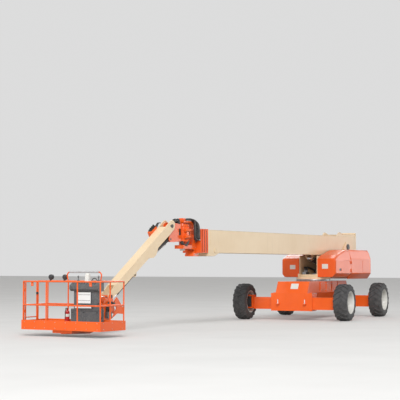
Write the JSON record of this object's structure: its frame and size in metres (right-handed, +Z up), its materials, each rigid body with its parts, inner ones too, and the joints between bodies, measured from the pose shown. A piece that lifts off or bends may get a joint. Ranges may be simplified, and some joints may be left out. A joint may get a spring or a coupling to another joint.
{
  "type": "telescopic boom lift",
  "caption": "Self-propelled telescopic boom lift: extending axles, swinging turntable, nested boom, articulated jib and a rail-fenced work platform.",
  "frame": {"origin": "on the ground under the middle of the whole parked machine's length and width", "axes": "+X forward along the boom towards the platform, +Y to the machine's left, +Z up"},
  "size_m": [15.9262, 4.441, 3.04],
  "materials": {
    "orange_paint": "gloss orange paint",
    "cream_paint": "satin cream paint",
    "white_paint": "gloss white paint",
    "dark_steel": "satin black paint",
    "grey_metal": "plain machined steel",
    "rod_chrome": "polished plating",
    "floor_metal": "ribbed floor sheet",
    "tyre_rubber": "matt black rubber",
    "grey_plastic": "moulded dark grey",
    "black_rubber": "smooth hose rubber",
    "red_paint": "gloss red paint"
  },
  "bodies": {
    "chassis": {"chassis_frame": "orange_paint", "swing_ring": "grey_metal"},
    "turntable": {"turntable_frame": "cream_paint", "rear_body": "orange_paint", "engine": "dark_steel"},
    "hood_left": {"hood_left": "orange_paint"},
    "hood_right": {"hood_right": "orange_paint"},
    "boom_base": {"boom_base": "cream_paint"},
    "boom_mid": {"boom_mid": "cream_paint", "collar_mid": "orange_paint"},
    "boom_inner": {"boom_inner": "cream_paint", "collar_inner": "orange_paint"},
    "boom_fly": {"boom_fly": "cream_paint", "fly_nose": "orange_paint", "nose_hoses": "black_rubber"},
    "lift_barrel": {"lift_barrel": "dark_steel"},
    "lift_rod": {"lift_rod": "rod_chrome"},
    "jib_head": {"jib_head": "orange_paint"},
    "jib": {"jib_arm": "cream_paint", "jib_valves": "orange_paint"},
    "jib_barrel": {"jib_barrel": "dark_steel"},
    "jib_rod": {"jib_rod": "rod_chrome"},
    "level_barrel": {"level_barrel": "dark_steel"},
    "level_rod": {"level_rod": "rod_chrome"},
    "platform_mount": {"platform_mount": "orange_paint"},
    "platform": {"platform_bracket": "orange_paint", "platform_floor": "floor_metal", "platform_rails": "orange_paint", "console": "grey_plastic", "work_lamps": "grey_plastic", "extinguisher": "red_paint"},
    "gate": {"platform_gate": "orange_paint"},
    "beam_front_left": {"beam_front_left": "orange_paint"},
    "knuckle_front_left": {"knuckle_front_left": "dark_steel"},
    "wheel_front_left": {"rim_front_left": "white_paint", "tyre_front_left": "tyre_rubber"},
    "beam_front_right": {"beam_front_right": "orange_paint"},
    "knuckle_front_right": {"knuckle_front_right": "dark_steel"},
    "wheel_front_right": {"rim_front_right": "white_paint", "tyre_front_right": "tyre_rubber"},
    "beam_rear_left": {"beam_rear_left": "orange_paint"},
    "knuckle_rear_left": {"knuckle_rear_left": "dark_steel"},
    "wheel_rear_left": {"rim_rear_left": "white_paint", "tyre_rear_left": "tyre_rubber"},
    "beam_rear_right": {"beam_rear_right": "orange_paint"},
    "knuckle_rear_right": {"knuckle_rear_right": "dark_steel"},
    "wheel_rear_right": {"rim_rear_right": "white_paint", "tyre_rear_right": "tyre_rubber"}
  },
  "joints": [
    {"name": "extend_front_left", "type": "slide", "parent": "chassis", "child": "beam_front_left", "axis": [0.1421, -0.9899, 0], "range_m": [0, 0.66]},
    {"name": "steer_front_left", "type": "hinge", "parent": "beam_front_left", "child": "knuckle_front_left", "pos_m": [-3.5794, 1.7555, 0.5775], "axis": [0, 0, 1], "range_deg": [-25, 25]},
    {"name": "roll_front_left", "type": "hinge", "parent": "knuckle_front_left", "child": "wheel_front_left", "pos_m": [-3.60498, 1.93367, 0.5775], "axis": [-0.1421, 0.9899, 0], "continuous": true},
    {"name": "extend_front_right", "type": "slide", "parent": "chassis", "child": "beam_front_right", "axis": [-0.1421, 0.9899, 0], "range_m": [0, 0.66]},
    {"name": "steer_front_right", "type": "hinge", "parent": "beam_front_right", "child": "knuckle_front_right", "pos_m": [-3.15307, -1.21406, 0.5775], "axis": [0, 0, 1], "range_deg": [-25, 25]},
    {"name": "roll_front_right", "type": "hinge", "parent": "knuckle_front_right", "child": "wheel_front_right", "pos_m": [-3.12749, -1.39223, 0.5775], "axis": [-0.1421, 0.9899, 0], "continuous": true},
    {"name": "extend_rear_left", "type": "slide", "parent": "chassis", "child": "beam_rear_left", "axis": [0.1421, -0.9899, 0], "range_m": [0, 0.66]},
    {"name": "steer_rear_left", "type": "hinge", "parent": "beam_rear_left", "child": "knuckle_rear_left", "pos_m": [-7.35073, 1.21406, 0.5775], "axis": [0, 0, 1], "range_deg": [-25, 25]},
    {"name": "roll_rear_left", "type": "hinge", "parent": "knuckle_rear_left", "child": "wheel_rear_left", "pos_m": [-7.37631, 1.39223, 0.5775], "axis": [-0.1421, 0.9899, 0], "continuous": true},
    {"name": "extend_rear_right", "type": "slide", "parent": "chassis", "child": "beam_rear_right", "axis": [-0.1421, 0.9899, 0], "range_m": [0, 0.66]},
    {"name": "steer_rear_right", "type": "hinge", "parent": "beam_rear_right", "child": "knuckle_rear_right", "pos_m": [-6.9244, -1.7555, 0.5775], "axis": [0, 0, 1], "range_deg": [-25, 25]},
    {"name": "roll_rear_right", "type": "hinge", "parent": "knuckle_rear_right", "child": "wheel_rear_right", "pos_m": [-6.89882, -1.93367, 0.5775], "axis": [-0.1421, 0.9899, 0], "continuous": true},
    {"name": "swing", "type": "hinge", "parent": "chassis", "child": "turntable", "pos_m": [-5.2519, 0, 1.287], "axis": [0, 0, 1], "continuous": true},
    {"name": "hood_left_open", "type": "hinge", "parent": "turntable", "child": "hood_left", "pos_m": [-6.0689, 1.013, 1.6], "axis": [0, 0, 1], "range_deg": [0, 100]},
    {"name": "hood_right_open", "type": "hinge", "parent": "turntable", "child": "hood_right", "pos_m": [-6.0689, -1.013, 1.6], "axis": [0, 0, -1], "range_deg": [0, 100]},
    {"name": "boom_lift", "type": "hinge", "parent": "turntable", "child": "boom_base", "pos_m": [-7.2149, 0, 2.37], "axis": [0, -1, 0], "range_deg": [0, 75]},
    {"name": "lift_barrel_swing", "type": "hinge", "parent": "turntable", "child": "lift_barrel", "pos_m": [-6.4459, 0, 1.69], "axis": [0, -1, 0], "range_deg": [0, 76]},
    {"name": "lift_rod_slide", "type": "slide", "parent": "lift_barrel", "child": "lift_rod", "axis": [0.9797, 0, 0.2003], "range_m": [0, 1.2]},
    {"name": "extend_mid", "type": "slide", "parent": "boom_base", "child": "boom_mid", "axis": [1, 0, 0], "range_m": [0, 8.4]},
    {"name": "extend_inner", "type": "slide", "parent": "boom_mid", "child": "boom_inner", "axis": [1, 0, 0], "range_m": [0, 8.4]},
    {"name": "extend_fly", "type": "slide", "parent": "boom_inner", "child": "boom_fly", "axis": [1, 0, 0], "range_m": [0, 8.4]},
    {"name": "jib_slew", "type": "hinge", "parent": "boom_fly", "child": "jib_head", "pos_m": [2.6481, 0, 2.6], "axis": [0, 0, 1], "range_deg": [-62, 62]},
    {"name": "jib_lift", "type": "hinge", "parent": "jib_head", "child": "jib", "pos_m": [3.3481, 0, 2.8], "axis": [0, -1, 0], "range_deg": [-21.2, 108.8]},
    {"name": "jib_barrel_swing", "type": "hinge", "parent": "jib_head", "child": "jib_barrel", "pos_m": [3.3631, 0, 2.44], "axis": [0, -1, 0], "range_deg": [-21, 104]},
    {"name": "jib_rod_slide", "type": "slide", "parent": "jib_barrel", "child": "jib_rod", "axis": [0.8872, 0, -0.4615], "range_m": [-0.108, 0.546]},
    {"name": "platform_level", "type": "hinge", "parent": "jib", "child": "platform_mount", "pos_m": [6.1381, 0, 0.939], "axis": [0, -1, 0], "range_deg": [-108.8, 21.2]},
    {"name": "level_barrel_swing", "type": "hinge", "parent": "jib", "child": "level_barrel", "pos_m": [4.99278, 0, 1.47457], "axis": [0, -1, 0], "range_deg": [-0.8, 4]},
    {"name": "level_rod_slide", "type": "slide", "parent": "level_barrel", "child": "level_rod", "axis": [0.8313, 0, -0.5558], "range_m": [-0.5, 0.098]},
    {"name": "platform_rotate", "type": "hinge", "parent": "platform_mount", "child": "platform", "pos_m": [6.3281, 0, 0.6], "axis": [0, 0, 1], "range_deg": [-90, 90]},
    {"name": "gate_open", "type": "hinge", "parent": "platform", "child": "gate", "pos_m": [7.8601, -1.201, 0.8], "axis": [0, 0, -1], "range_deg": [0, 90]}
  ],
  "couplings": [
    {"joint": "steer_front_right", "follows": "steer_front_left", "ratio": 1},
    {"joint": "extend_front_right", "follows": "extend_front_left", "ratio": 1},
    {"joint": "steer_rear_right", "follows": "steer_rear_left", "ratio": 1},
    {"joint": "extend_rear_right", "follows": "extend_rear_left", "ratio": 1},
    {"joint": "lift_barrel_swing", "follows": "boom_lift", "ratio": 1.0106},
    {"joint": "lift_rod_slide", "follows": "boom_lift", "m_per_rad": 0.9084},
    {"joint": "extend_inner", "follows": "extend_mid", "ratio": 1},
    {"joint": "extend_fly", "follows": "extend_mid", "ratio": 1},
    {"joint": "jib_barrel_swing", "follows": "jib_lift", "ratio": 0.949},
    {"joint": "jib_rod_slide", "follows": "jib_lift", "m_per_rad": 0.2864},
    {"joint": "level_barrel_swing", "follows": "platform_level", "ratio": -0.036},
    {"joint": "level_rod_slide", "follows": "platform_level", "m_per_rad": 0.262}
  ]
}
